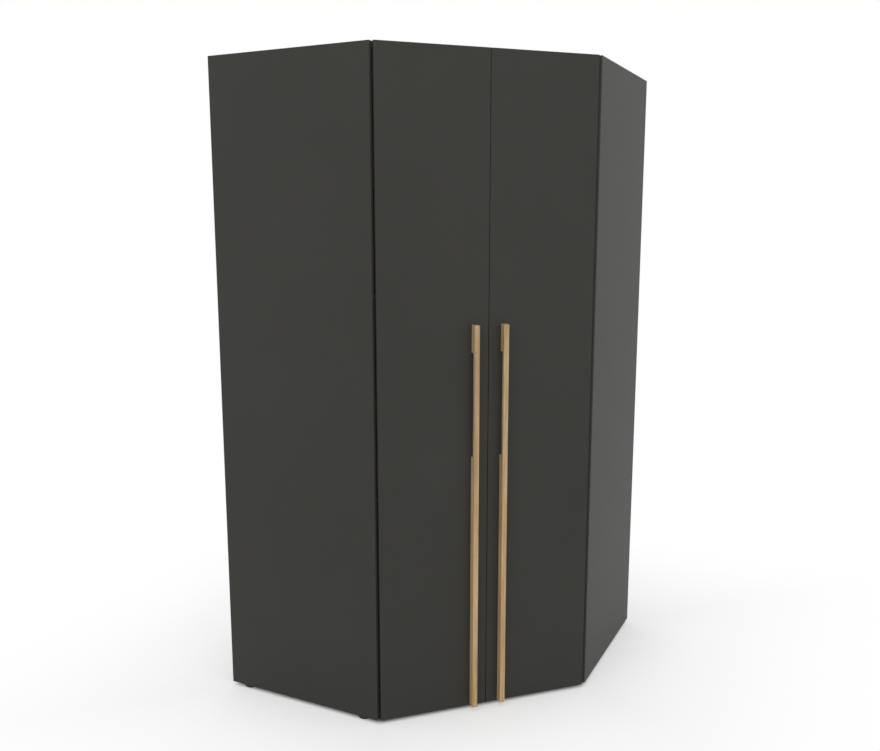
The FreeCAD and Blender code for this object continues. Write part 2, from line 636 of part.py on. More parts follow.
def hinge_cup():
    """A drawn cup with a flange on the door and two cheeks for the pin."""
    bowl = cup_rod(CUP_RADIUS, CUP_FLOOR, CUP_CENTRE)
    across = CUP_RADIUS + CUP_FLANGE_RIM
    flange_corner = CUP_CENTRE - RIGHT * across - UP * (CUP_FLANGE_LENGTH / 2)
    flange = Part.makeBox(2 * across, CUP_FLANGE, CUP_FLANGE_LENGTH, flange_corner)
    mouth = CUP_CENTRE + INWARD * (CUP_FLANGE + OVERRUN)
    hollow = cup_rod(CUP_INNER_RADIUS, CUP_FLOOR + INWARD * CUP_WALL, mouth)
    shell = bowl.fuse(flange).removeSplitter().cut(hollow)

    cheek_start = ARM_WIDTH / 2 + EYE_CLEAR
    cheek_length = HINGE_PIN.x + EYE_RADIUS - HINGE_EDGE_X
    cheek_depth = HINGE_PIN.y + EYE_RADIUS - CUP_FLOOR.y
    cheeks = []
    for level in (cheek_start, -cheek_start - CUP_CHEEK):
        corner = Vector(HINGE_EDGE_X, CUP_FLOOR.y, level)
        cheeks.append(Part.makeBox(cheek_length, cheek_depth, CUP_CHEEK, corner).common(bowl))
    half = UP * (cheek_start + CUP_CHEEK)
    pin_flat = PIN_RADIUS * math.cos(math.pi / PIN_SIDES)
    pin = faceted_rod(pin_flat, HINGE_PIN - half, HINGE_PIN + half, PIN_SIDES, RIGHT)
    return shell.fuse(cheeks).removeSplitter().cut(pin), pin


def at_hinges(shapes):
    return [shape.translated(UP * level) for level in HINGE_LEVELS for shape in shapes]


def door_bumpers():
    bumpers = []
    for flat, level, sunk in LEVEL_BOARDS:
        start = Vector(FREE_EDGE_X - BUMPER_FROM_EDGE, DOOR_INNER_Y, level)
        end = start + INWARD * (DOOR_GAP - BUMPER_CLEAR)
        bumpers.append(faceted_rod(BUMPER_RADIUS, start, end, CAM_SIDES, RIGHT))
    return bumpers


def doors():
    """The left door with its hinges, handle and bumpers, and its mirror image."""
    cup, pin = hinge_cup()
    plate, pegs = hinge_plate()
    bar, handle_foot = handle()
    handle_screws = []
    for share in HANDLE_SCREW_SHARES:
        seat = Vector(handle_foot.x, DOOR_INNER_Y, handle_foot.z + HANDLE_LENGTH * share)
        handle_screws.append(machine_screw(DOOR_BOARD + HANDLE_SCREW_GRIP, seat, INWARD * -1))
    separate = {"hinge_plate": plate, "hinge_arm": hinge_arm(), "hinge_cup": cup}
    joined = {
        "hinge_pins": at_hinges([pin]),
        "handle": [bar.cut(handle_screws)],
        "handle_screws": handle_screws,
        "door_bumpers": door_bumpers(),
    }
    for name, shape in separate.items():
        row = at_hinges([shape])
        add_each("left_" + name, row)
        add_each("right_" + name, [mirrored(piece) for piece in row])
    for name, shapes in joined.items():
        nodes["left_" + name] = shapes
        nodes["right_" + name] = [mirrored(shape) for shape in shapes]
    cup_bore = cup_rod(CUP_RADIUS, CUP_FLOOR, CUP_CENTRE + INWARD * OVERRUN)
    door_cuts = at_hinges([cup_bore]) + handle_screws
    side_cuts = at_hinges(pegs)
    cuts["left_door_panel"] += door_cuts
    cuts["right_door_panel"] += [mirrored(tool) for tool in door_cuts]
    cuts["left_side_panel"] += side_cuts
    cuts["right_side_panel"] += [mirrored(tool) for tool in side_cuts]


board_joints()
shelf_pins()
feet()
clothes_rail()
wall_brackets()
doors()
for name, board in boards.items():
    nodes[name] = [board.cut(cuts[name])]

os.makedirs("parts", exist_ok=True)
for name, shapes in nodes.items():
    shape = shapes[0] if len(shapes) == 1 else Part.makeCompound(shapes)
    shape.exportStep("parts/" + name + ".step")
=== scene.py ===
import json
import math

import bmesh
import bpy
import numpy as np
from mathutils import Matrix, Vector


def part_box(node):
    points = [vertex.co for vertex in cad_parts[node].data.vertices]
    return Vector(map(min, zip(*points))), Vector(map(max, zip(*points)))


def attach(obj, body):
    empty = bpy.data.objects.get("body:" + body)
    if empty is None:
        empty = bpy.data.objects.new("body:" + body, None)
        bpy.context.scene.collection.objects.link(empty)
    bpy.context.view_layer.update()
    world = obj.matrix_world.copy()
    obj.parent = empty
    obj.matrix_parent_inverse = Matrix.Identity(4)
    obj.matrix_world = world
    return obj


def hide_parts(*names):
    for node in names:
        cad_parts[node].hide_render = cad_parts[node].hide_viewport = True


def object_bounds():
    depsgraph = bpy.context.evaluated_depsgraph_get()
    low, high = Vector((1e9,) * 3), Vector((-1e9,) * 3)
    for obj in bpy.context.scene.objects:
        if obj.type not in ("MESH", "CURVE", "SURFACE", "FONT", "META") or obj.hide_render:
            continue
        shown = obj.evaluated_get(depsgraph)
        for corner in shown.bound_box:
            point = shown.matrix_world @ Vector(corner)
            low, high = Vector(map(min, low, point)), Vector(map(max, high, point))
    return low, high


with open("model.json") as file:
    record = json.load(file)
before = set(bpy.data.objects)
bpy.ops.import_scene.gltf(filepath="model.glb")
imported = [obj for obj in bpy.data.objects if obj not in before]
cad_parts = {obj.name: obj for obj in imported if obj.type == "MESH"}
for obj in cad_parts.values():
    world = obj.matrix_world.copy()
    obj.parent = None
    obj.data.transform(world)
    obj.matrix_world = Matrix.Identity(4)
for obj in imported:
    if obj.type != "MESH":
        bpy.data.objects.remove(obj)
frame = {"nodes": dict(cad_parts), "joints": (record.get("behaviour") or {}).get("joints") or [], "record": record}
cad_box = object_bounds()

# A five-sided corner wardrobe of matte graphite board, with two doors and oak bar handles.
# Lengths are in metres.

# Camera, for an image of this width in pixels
IMAGE_WIDTH = 880
FOCAL_PIXELS = 902.2
SENSOR_WIDTH = 36.0
CAMERA_PLACE = (-1.1615, -3.5169, 1.766)
CAMERA_TURN = math.radians(18.92)
CAMERA_PITCH = math.radians(9.646)

# Light and floor
WORLD_LIGHT = 0.85
KEY_POWER = 60.0
KEY_SIZE = 4.5
KEY_PLACE = (-1.6, -3.4, 4.6)
LIGHT_AIM = (0.0, -0.2, 1.0)
FLOOR_HALF = 14.0
FLOOR_TONE = 0.93
# Share of pure white glow that the floor shows at each distance from the outline of the wardrobe; the low share
# near the outline paints shade around its base
FLOOR_GLOW_AND_PAINTED_SHADE = ((-0.025, 0.0), (0.0, 0.40), (0.1, 0.49), (0.17, 0.56), (0.33, 0.69), (0.8, 0.93), (1.1, 1.0))
# Outward ways of the five upright faces
OUTLINE_WAYS = ((0, -1, 0), (-1, -1, 0), (1, -1, 0), (-1, 1, 0), (1, 1, 0))

# Materials
NOISE_RANGE = (0.3, 0.7)  # most values of a noise texture
FULL_RANGE = (0.0, 1.0)
EDGE_COSINES = (0.995, 0.8)  # turn of the rounded normal, from no edge to a full one
EDGE_SAMPLES = 6
# Painted light and shade on the oak bars: a paler, warmer tint low down and a darker one at the top, blended
# between these heights
OAK_PAINTED_SHADE_BETWEEN = (0.55, 1.15)  # heights
OAK_LOW_PAINTED_LIGHT = (1.05, 1.03, 0.97)
OAK_TOP_PAINTED_SHADE = (0.86, 0.87, 0.85)
MOULDED_ROUGHNESS_SPREAD = 0.08

# Rounding of boards and sheet metal
BOARD_ROUND = 0.0005
BOARD_SHORTEST_EDGE = 0.0145  # shorter edges, such as those of bores, stay sharp
METAL_ROUND = 0.0003
METAL_SHORTEST_EDGE = 0.0007
FLAT_ANGLE = math.radians(0.5)
BAND_LAYER = "edge_band"
BAND_COSINE = 0.7  # faces turned further than this from a board's broad side carry its edge band
EASED_SEGMENTS = 2

# Handles
HANDLE_ROUND = 0.0014
HANDLE_ROUND_SEGMENTS = 3
GRIP_LENGTH = 0.370
GRIP_DEPTH = 0.017
GRIP_FROM_TOP = 0.095
GRIP_ROUND = 0.006

# Hinges
HINGES_PER_DOOR = 4
CUP_RADIUS = 0.0174
CUP_INNER_RADIUS = 0.0166
CUP_FLOOR = 0.0009
CUP_LIP = 0.0006
FLANGE_CORNER = 0.0075
FLANGE_BEVEL = 0.0004
FLANGE_SCREW_REACH = 0.0228
CHEEK_FROM_MIDDLE = 0.0064
CHEEK_THICK = 0.0016
CHEEK_ROUND = 0.0035
PLATE_THICK = 0.003
WING_SCREW_RADIUS = 0.0041
ARM_SCREW_SHARES = (0.3, 0.72)  # places along the plate
EYE_RADIUS = 0.00362
EYE_WALL = 0.0012

# Screws
SCREW_RADIUS = 0.0034
SCREW_RISE = 0.0014
SCREW_TIP_SHARE = 0.6  # of the shank's radius
HEAD_SHARES = ((1, 0), (1, 0.35), (0.94, 0.75), (0.78, 1))  # of the head's radius and height
CROSS_REACH_SHARE = 0.62  # of the head's radius
CROSS_HALF_SHARE = 0.15
RECESS_DEPTH_SHARE = 0.65  # of the head's height
SHANK_SHARE = 0.7  # what lies within this share of the head's radius is shank
SIX_SIDED_SHARE = math.cos(math.pi / 6)  # flat of a six-sided rod against its corner

# Sunk screws and cam caps
FLUSH_RISE = 0.0001  # above their board
SUNK_HEAD_RADIUS = 0.0060
SUNK_HEAD_DEPTH = 0.004
SUNK_NECK_SHARE = 0.8  # of the head's radius
SUNK_TIP_SHARE = 0.5  # of the shank's radius
SOCKET_SHARE = 0.4  # of the head's radius
SOCKET_DEPTH_SHARE = 0.6  # of the head's depth
SOCKET_SIDES = 6
CAM_CAP_RADIUS = 0.0086
CAM_NECK_SHARE = 0.85  # of the cap's radius
CAM_SLOT_REACH_SHARE = 0.55
CAM_SLOT_HALF_SHARE = 0.14
CAM_SLOT_DEPTH = 0.003

# Pins and bumpers
PIN_CHAMFER = 0.0004
SHELF_PIN_END_SHARE = 0.7  # of the pin's radius
SHELF_PIN_TAPER_SHARE = 0.3
BUMPER_DOME_SHARE = 0.55  # rounded part of a bumper's height

# Feet
FOOT_COUNT = 5
FOOT_HOLLOW = 0.0012  # under the middle of the foot
FOOT_HOLLOW_SHARES = (0.46, 0.50)  # of the radius: the hollow's roof and mouth
FOOT_TREAD_SHARES = (0.82, 0.86)  # the tread's flat and its rounded rim
FOOT_TREAD_ROUND = 0.0005
FOOT_SLOPE_SHARE = 0.975
FOOT_SLOPE_TOP = 0.0046
FOOT_WALL_START = 0.0056
FOOT_GROOVE_SHARE = 0.985  # of the radius
FOOT_GROOVE_LEVEL_SHARES = (0.62, 0.64, 0.68, 0.70)  # of the height
FOOT_CHAMFER = 0.0008
FOOT_SEGMENTS = 64

# Clothes rail
RAIL_WALL = 0.0015
RAIL_CAP_ROUND = 0.0012
RAIL_CAP_PLUG = 0.006  # inside the tube
HANGER_HALF_THICK = 0.004
HANGER_PLATE = 0.003
HANGER_CORNER = 0.004
HANGER_BEVEL = 0.0005

# Round pieces
SEGMENTS = 48
SMALL_SEGMENTS = 24
ARC_STEPS = 8
OVAL_STEPS = 16
CORNER_STEPS = 6
SMOOTH_ANGLE = math.radians(32)
SAME_POINT = 1e-6
SAME_END = 1e-5

DIAGONAL = math.sqrt(0.5)
SIDES = {"left": 1, "right": -1}  # the sign that turns the left side into either one
HALF_HEIGHT = (cad_box[0][2] + cad_box[1][2]) / 2


def srgb(red, green, blue):
    """A colour of 0 to 255 as linear light."""
    shares = [value / 255 for value in (red, green, blue)]
    return tuple(share / 12.92 if share < 0.04045 else ((share + 0.055) / 1.055) ** 2.4 for share in shares)


# Shader nodes


class Shader:
    """A principled material and the nodes that feed it, in coordinates that move with the piece."""

    def __init__(self, name, **sockets):
        self.material = bpy.data.materials.new(name)
        self.material.use_nodes = True
        self.tree = self.material.node_tree
        self.surface = self.tree.nodes["Principled BSDF"]
        for socket, value in sockets.items():
            self.surface.inputs[socket.replace("_", " ")].default_value = value
        self.place = self.node("TexCoord").outputs["Object"]

    def node(self, kind, **values):
        node = self.tree.nodes.new("ShaderNode" + kind)
        for name, value in values.items():
            setattr(node, name, value)
        return node

    def join(self, source, socket):
        self.tree.links.new(source, socket)

    def feed(self, socket, source):
        self.join(source, self.surface.inputs[socket])

    def noise(self, scale, detail=2.0, stretch=(1, 1, 1), roughness=0.5):
        mapping = self.node("Mapping")
        mapping.inputs["Scale"].default_value = stretch
        self.join(self.place, mapping.inputs["Vector"])
        texture = self.node("TexNoise")
        texture.inputs["Scale"].default_value = scale
        texture.inputs["Detail"].default_value = detail
        texture.inputs["Roughness"].default_value = roughness
        self.join(mapping.outputs["Vector"], texture.inputs["Vector"])
        return texture.outputs["Fac"]

    def ramp(self, factor, *stops):
        node = self.node("ValToRGB")
        elements = node.color_ramp.elements
        for element, (place, colour) in zip(elements, (stops[0], stops[-1])):
            element.position = place
            element.color = (*colour, 1)
        for place, colour in stops[1:-1]:
            elements.new(place).color = (*colour, 1)
        self.join(factor, node.inputs["Fac"])
        return node.outputs["Color"]

    def tones(self, factor, dark, pale):
        """From one colour to another over a noise."""
        low, high = NOISE_RANGE
        return self.ramp(factor, (low, dark), (high, pale))

    def span(self, value, source, target):
        """Map one range of values to another."""
        node = self.node("MapRange")
        for socket, number in zip(("From Min", "From Max", "To Min", "To Max"), (*source, *target)):
            node.inputs[socket].default_value = number
        self.join(value, node.inputs["Value"])
        return node.outputs["Result"]

    def mix(self, factor, first, second, blend="MIX"):
        node = self.node("Mix", data_type="RGBA", blend_type=blend)
        colours = [socket for socket in node.inputs if socket.type == "RGBA"]
        for socket, source in zip(colours, (first, second)):
            if isinstance(source, tuple):
                socket.default_value = (*source, 1)
            else:
                self.join(source, socket)
        if isinstance(factor, float):
            node.inputs["Factor"].default_value = factor
        else:
            self.join(factor, node.inputs["Factor"])
        return next(socket for socket in node.outputs if socket.type == "RGBA")

    def edges(self, radius):
        """Strongest along the edges of the piece, out to a radius."""
        bevel = self.node("Bevel", samples=EDGE_SAMPLES)
        bevel.inputs["Radius"].default_value = radius
        dot = self.node("VectorMath", operation="DOT_PRODUCT")
        self.join(bevel.outputs["Normal"], dot.inputs[0])
        self.join(self.node("NewGeometry").outputs["Normal"], dot.inputs[1])
        return self.span(dot.outputs["Value"], EDGE_COSINES, FULL_RANGE)

    def bump(self, height, strength, distance):
        node = self.node("Bump")
        node.inputs["Strength"].default_value = strength
        node.inputs["Distance"].default_value = distance
        self.join(height, node.inputs["Height"])
        self.feed("Normal", node.outputs["Normal"])


def graphite_board():
    """Coated board: an even dark grey with a fine pearl grain, a shade paler along its worn edges, and a shade
    paler on its edge bands, partly their own tone and partly painted light that lifts the shade in the seams.
    """
    shader = Shader("graphite_board", Specular_IOR_Level=0.2)
    cloud = shader.noise(scale=2.2, detail=3.0)
    grain = shader.noise(scale=1500.0)
    tone = shader.tones(cloud, srgb(52, 51.5, 48), srgb(54.5, 54, 50.5))
    speck = shader.ramp(grain, (0.35, (0.86, 0.86, 0.86)), (0.65, (1.0, 1.0, 1.0)))
    band = shader.node("Attribute", attribute_name=BAND_LAYER).outputs["Fac"]
    # Edge bands a shade paler than the faces: partly the band's own tone, partly painted light that lifts the
    # shaded seams beside the doors
    banded_with_painted_light = shader.mix(band, tone, srgb(65, 64, 60))
    speckled = shader.mix(1.0, banded_with_painted_light, speck, "MULTIPLY")
    rubbed = shader.span(shader.edges(radius=0.0012), FULL_RANGE, (0.0, 0.45))
    shader.feed("Base Color", shader.mix(rubbed, speckled, srgb(84, 83, 79)))
    shader.feed("Roughness", shader.span(shader.noise(scale=55.0, detail=4.0), NOISE_RANGE, (0.475, 0.505)))
    shader.bump(grain, strength=0.22, distance=0.00006)
    return shader.material


def oak():
    """Oiled oak with upright grain: streaks, year lines and dark pores, with painted shade deepening it towards
    the top and painted light low down.
    """
    shader = Shader("oak", Specular_IOR_Level=0.35)
    split = shader.node("SeparateXYZ")
    shader.join(shader.place, split.inputs["Vector"])
    height = shader.span(split.outputs["Z"], OAK_PAINTED_SHADE_BETWEEN, FULL_RANGE)
    broad = shader.noise(scale=85.0, detail=3.0, stretch=(1, 1, 0.05), roughness=0.55)
    lines = shader.noise(scale=420.0, detail=4.0, stretch=(1, 1, 0.018), roughness=0.65)
    pores = shader.noise(scale=1500.0, stretch=(1, 1, 0.035), roughness=0.6)
    patches = shader.noise(scale=9.0, detail=3.0, stretch=(1, 1, 0.9))
    warm = shader.ramp(
        broad,
        (0.28, srgb(152, 123, 84)),
        (0.44, srgb(184, 156, 113)),
        (0.58, srgb(195, 169, 129)),
        (0.76, srgb(212, 191, 156)),
    )
    veined = shader.mix(shader.span(lines, (0.44, 0.66), (0.0, 0.5)), warm, srgb(142, 111, 75))
    rosy = shader.mix(shader.span(patches, (0.42, 0.66), (0.0, 0.4)), veined, srgb(184, 146, 114))
    pored = shader.mix(shader.span(pores, (0.6, 0.72), (0.0, 0.6)), rosy, srgb(96, 68, 42))
    rubbed = shader.span(shader.edges(radius=0.0018), FULL_RANGE, (0.0, 0.3))
    worn = shader.mix(rubbed, pored, srgb(206, 184, 148))
    # Painted shade towards the top of the bars and painted light low down, by height
    depth = shader.mix(height, OAK_LOW_PAINTED_LIGHT, OAK_TOP_PAINTED_SHADE)
    shader.feed("Base Color", shader.mix(1.0, worn, depth, "MULTIPLY"))
    shader.feed("Roughness", shader.span(lines, NOISE_RANGE, (0.45, 0.62)))
    shader.bump(shader.span(pores, (0.5, 0.75), (1.0, 0.0)), strength=0.35, distance=0.00015)
    return shader.material


def moulded(name, dark, pale, roughness):
    """Moulded plastic with a fine spark-eroded grain."""
    shader = Shader(name, Specular_IOR_Level=0.45)
    grain = shader.noise(scale=1300.0, detail=3.0)
    shader.feed("Base Color", shader.tones(shader.noise(scale=60.0, detail=3.0), dark, pale))
    gloss = (roughness - MOULDED_ROUGHNESS_SPREAD, roughness + MOULDED_ROUGHNESS_SPREAD)
    shader.feed("Roughness", shader.span(grain, NOISE_RANGE, gloss))
    shader.bump(grain, strength=0.4, distance=0.00008)
    return shader.material


def metal(name, dark, pale, roughness, scratch):
    """Plated metal whose gloss is broken by fine scratches, stretched as scratch says."""
    shader = Shader(name, Metallic=1.0)
    lines = shader.noise(scale=420.0, detail=3.0, stretch=scratch, roughness=0.6)
    shader.feed("Base Color", shader.tones(shader.noise(scale=45.0, detail=3.0), dark, pale))
    shader.feed("Roughness", shader.span(lines, NOISE_RANGE, roughness))
    shader.bump(lines, strength=0.08, distance=0.00004)
    return shader.material


def clear_rubber():
    """Soft translucent bumpers, a little cloudy."""
    shader = Shader("clear_rubber", Transmission_Weight=0.7, IOR=1.43)
    cloud = shader.noise(scale=240.0, detail=3.0)
    shader.feed("Base Color", shader.tones(cloud, srgb(205, 205, 198), srgb(232, 232, 226)))
    shader.feed("Roughness", shader.span(cloud, NOISE_RANGE, (0.25, 0.4)))
    shader.bump(cloud, strength=0.15, distance=0.00005)
    return shader.material


MATERIALS = {
    "graphite_board": graphite_board(),
    "oak": oak(),
    "black_plastic": moulded("black_plastic", srgb(17, 17, 17), srgb(26, 26, 25), 0.5),
    "clear_rubber": clear_rubber(),
    "chromed_rail": metal(
        "chromed_rail", srgb(214, 215, 217), srgb(228, 229, 231), roughness=(0.06, 0.16), scratch=(0.02, 1, 1)
    ),
    "cast_zinc": metal(
        "cast_zinc", srgb(150, 151, 152), srgb(172, 173, 174), roughness=(0.38, 0.58), scratch=(1, 1, 1)
    ),
    "hinge_steel": metal(
        "hinge_steel", srgb(178, 175, 168), srgb(196, 193, 187), roughness=(0.2, 0.36), scratch=(1, 1, 0.05)
    ),
}
for row in frame["record"]["subparts"]:
    mesh = frame["nodes"][row["node"]].data
    mesh.materials.clear()
    mesh.materials.append(MATERIALS[row["material_slot"]])


# Mesh building


def facing(point, out):
    """A place at a point whose Z axis points out, with its Y axis upright where that is possible."""
    return Matrix.Translation(point) @ Vector(out).to_track_quat("Z", "Y").to_matrix().to_4x4()


def ring(bm, place, points, height):
    return [bm.verts.new(place @ Vector((x, y, height))) for x, y in points]


def skin(bm, lower, upper):
    """Faces between two rings, either of which may be a single point."""
    count = max(len(lower), len(upper))
    for here in range(count):
        there = (here + 1) % count
        pairs = ((lower, here), (lower, there), (upper, there), (upper, here))
        corners = [points[spot % len(points)] for points, spot in pairs]
        bm.faces.new(list(dict.fromkeys(corners)))


def fill(bm, *rings):
    """Flat faces inside the first ring and outside the others."""
    edges = []
    for points in rings:
        for start, end in zip(points, points[1:] + points[:1]):
            edges.append(bm.edges.get((start, end)) or bm.edges.new((start, end)))
    bmesh.ops.triangle_fill(bm, edges=edges, use_beauty=True)


def circle(radius, count=SEGMENTS):
    turns = [2 * math.pi * place / count for place in range(count)]
    return [(radius * math.cos(turn), radius * math.sin(turn)) for turn in turns]


def cross(reach, half):
    """Outline of a cross recess."""
    arm = [(reach, -half), (reach, half), (half, half)]
    points = []
    for quarter in range(4):
        for x, y in arm:
            for _ in range(quarter):
                x, y = -y, x
            points.append((x, y))
    return points


def rounded_box(half_x, half_y, radius):
    """Outline of a rectangle with round corners."""
    points = []
    for quarter, (side_x, side_y) in enumerate(((1, 1), (-1, 1), (-1, -1), (1, -1))):
        for step in range(CORNER_STEPS + 1):
            turn = math.pi / 2 * (quarter + step / CORNER_STEPS)
            x = side_x * (half_x - radius) + radius * math.cos(turn)
            points.append((x, side_y * (half_y - radius) + radius * math.sin(turn)))
    return points


def stack(bm, place, layers):
    """Skin a pile of outlines with equal counts, given as points and height, and give back its rings."""
    rings = [ring(bm, place, points, height) for points, height in layers]
    for lower, upper in zip(rings, rings[1:]):
        skin(bm, lower, upper)
    return rings


def lathe(bm, place, profile, count=SEGMENTS):
    """Turn a profile of radius and height round the Z axis of a place."""
    layers = []
    for radius, height in profile:
        layers.append((circle(radius, count) if radius else [(0, 0)], height))
    return stack(bm, place, layers)


def recess(bm, place, outline, top, depth, rim):
    """Close a ring with a flat face that has a sunk recess."""
    upper = ring(bm, place, outline, top)
    lower = ring(bm, place, outline, top - depth)
    fill(bm, rim, upper)
    skin(bm, lower, upper)
    fill(bm, lower)


def screw(bm, place, radius, rise, shank_radius, length):
    """A round-headed screw: Z points out of its head, whose underside lies at the place."""
    profile = [
        (0, -length),
        (shank_radius * SCREW_TIP_SHARE, -length),
        (shank_radius, shank_radius - length),
        (shank_radius, 0),
    ]
    profile += [(radius * wide, rise * high) for wide, high in HEAD_SHARES]
    rim = lathe(bm, place, profile, SMALL_SEGMENTS)[-1]
    outline = cross(radius * CROSS_REACH_SHARE, radius * CROSS_HALF_SHARE)
    recess(bm, place, outline, rise, rise * RECESS_DEPTH_SHARE, rim)


def piece(name, bm, slot, body, *replaced, smooth=True):
    """Finish a mesh as a piece that rides on a body, in place of the nodes that it replaces."""
    bmesh.ops.recalc_face_normals(bm, faces=bm.faces)
    mesh = bpy.data.meshes.new(name)
    bm.to_mesh(mesh)
    bm.free()
    mesh.materials.append(MATERIALS[slot])
    if smooth:
        mesh.shade_smooth()
        mesh.set_sharp_from_angle(angle=SMOOTH_ANGLE)
    made = bpy.data.objects.new(name, mesh)
    bpy.context.scene.collection.objects.link(made)
    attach(made, body)
    if replaced:
        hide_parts(*replaced)


# What the frame says of each node


def welded(node):
    """A flat-shaded copy of a node's mesh, with the corners of its faces joined."""
    mesh = frame["nodes"][node].data
    bm = bmesh.new()
    corners = [bm.verts.new(vert.co) for vert in mesh.vertices]
    for polygon in mesh.polygons:
        bm.faces.new([corners[index] for index in polygon.vertices])
    bmesh.ops.remove_doubles(bm, verts=bm.verts, dist=SAME_POINT)
    return bm


def solids_of(node):
    """The corner points of each separate solid of a node."""
    bm = welded(node)
    seen = set()
    groups = []
    for first in bm.verts:
        if first in seen:
            continue
        seen.add(first)
        group = [first]
        for vert in group:
            for edge in vert.link_edges:
                other = edge.other_vert(vert)
                if other not in seen:
                    seen.add(other)
                    group.append(other)
        groups.append(np.array([vert.co for vert in group]))
    bm.free()
    return groups


def rod_ends(points):
    """Both ends of a long solid as middle and radius, the wider one first."""
    middle = points.mean(0)
    along = np.linalg.svd(points - middle)[2][0]
    reach = (points - middle) @ along
    ends = []
    for way in (-1, 1):
        end = points[way * reach > (way * reach).max() - SAME_END]
        centre = end.mean(0)
        ends.append((np.linalg.norm(end - centre, axis=1).max(), Vector(centre)))
    (wide, head), (narrow, tip) = sorted(ends, key=lambda end: -end[0])
    return head, wide, tip, narrow


def screws(node, body):
    """Round-headed screws with a cross recess in place of a node's plain ones."""
    bm = bmesh.new()
    for points in solids_of(node):
        head, wide, tip, narrow = rod_ends(points)
        out = (head - tip).normalized()
        from_head = points - np.array(head)
        reach = from_head @ np.array(out)
        from_axis = np.linalg.norm(from_head - np.outer(reach, out), axis=1)
        rise = -max(reach[from_axis < wide * SHANK_SHARE])
        seat = head - out * rise
        radius, shank_radius = wide * SIX_SIDED_SHARE, narrow * SIX_SIDED_SHARE
        screw(bm, facing(seat, out), radius, rise, shank_radius, (seat - tip).length)
    piece("round_" + node, bm, "hinge_steel", body, node)


# Boards and sheet metal


def mark_bands(bm):
    """Mark the narrow sides of a board, which carry its edge bands."""
    bm.normal_update()
    broad = max(bm.faces, key=lambda face: face.calc_area()).normal.copy()
    layer = bm.faces.layers.float.new(BAND_LAYER)
    for face in bm.faces:
        face[layer] = float(abs(face.normal.dot(broad)) < BAND_COSINE)


def eased(node, body, slot, bevel, shortest):
    """A node with its outer edges rounded, apart from those shorter than the shortest."""
    bm = welded(node)
    bmesh.ops.dissolve_limit(bm, angle_limit=FLAT_ANGLE, verts=bm.verts, edges=bm.edges)
    outer = []
    for edge in bm.edges:
        if edge.is_convex and edge.calc_face_angle() > SMOOTH_ANGLE and edge.calc_length() > shortest:
            outer.append(edge)
    bmesh.ops.bevel(bm, geom=outer, offset=bevel, segments=EASED_SEGMENTS, profile=0.5, affect="EDGES")
    if slot == "graphite_board":
        mark_bands(bm)
    piece("eased_" + node, bm, slot, body, node, smooth=False)


def boards_and_metal():
    """Boards, hinge plates and wall brackets with rounded edges."""
    for row in frame["record"]["subparts"]:
        node, slot = row["node"], row["material_slot"]
        if slot == "graphite_board":
            body = node.replace("_panel", "") if "_door_" in node else "carcass"
            eased(node, body, slot, BOARD_ROUND, BOARD_SHORTEST_EDGE)
        elif "_hinge_plate_" in node or node.startswith("wall_bracket"):
            eased(node, "carcass", slot, METAL_ROUND, METAL_SHORTEST_EDGE)


# Oak handles


def handles():
    """Oak bars with rounded edges and a finger recess behind, and their screws."""
    for side in SIDES:
        node = side + "_handle"
        low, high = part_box(node)
        grip_top = high.z - GRIP_FROM_TOP
        grip_low = grip_top - GRIP_LENGTH
        grip_y = high.y - GRIP_DEPTH
        outline = [(low.y, low.z), (high.y, low.z), (high.y, grip_low)]
        for level, way in ((grip_low, 1), (grip_top, -1)):
            arc = []
            for step in range(ARC_STEPS + 1):
                turn = math.pi / 2 * step / ARC_STEPS
                y = grip_y + GRIP_ROUND * (1 - math.sin(turn))
                arc.append((y, level + way * GRIP_ROUND * (1 - math.cos(turn))))
            outline += arc if way > 0 else arc[::-1]
        outline += [(high.y, grip_top), (high.y, high.z), (low.y, high.z)]
        bm = bmesh.new()
        rings = []
        for x in (low.x, high.x):
            rings.append([bm.verts.new((x, y, z)) for y, z in outline])
            bm.faces.new(rings[-1])
        skin(bm, *rings)
        sharp = [edge for edge in bm.edges if edge.calc_face_angle() > SMOOTH_ANGLE]
        bmesh.ops.bevel(
            bm, geom=sharp, offset=HANDLE_ROUND, segments=HANDLE_ROUND_SEGMENTS, profile=0.5, affect="EDGES"
        )
        piece(side + "_oak_bar", bm, "oak", side + "_door", node)
        screws(side + "_handle_screws", side + "_door")


# Hinges


def off_side(sign):
    """The ways off and along a side panel's inner face."""
    return Vector((sign * DIAGONAL, DIAGONAL, 0)), Vector((-sign * DIAGONAL, DIAGONAL, 0))


